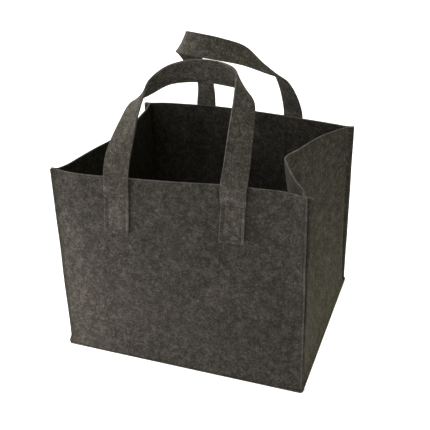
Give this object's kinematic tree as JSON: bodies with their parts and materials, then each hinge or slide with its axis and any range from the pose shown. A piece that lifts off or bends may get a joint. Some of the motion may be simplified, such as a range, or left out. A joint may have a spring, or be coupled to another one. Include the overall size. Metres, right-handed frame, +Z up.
{
  "type": "felt log bag",
  "caption": "Open-topped charcoal felt bag for firewood, with a flat base, folded-in sides, raw seams turned outwards and a pair of felt strap handles.",
  "frame": {"origin": "middle of the base's underside, on the floor", "axes": "+Z up, -Y towards the front panel, +X to the right seen from the front"},
  "size_m": [0.4085, 0.3864, 0.4768],
  "materials": {
    "panel_felt": "matt charcoal heather needle felt",
    "strap_felt": "matt charcoal heather needle felt, cut as a strip"
  },
  "bodies": {
    "root": {"base_panel": "panel_felt", "front_panel": "panel_felt", "back_panel": "panel_felt", "left_side": "panel_felt", "right_side": "panel_felt", "front_handle": "strap_felt", "back_handle": "strap_felt"}
  },
  "joints": []
}
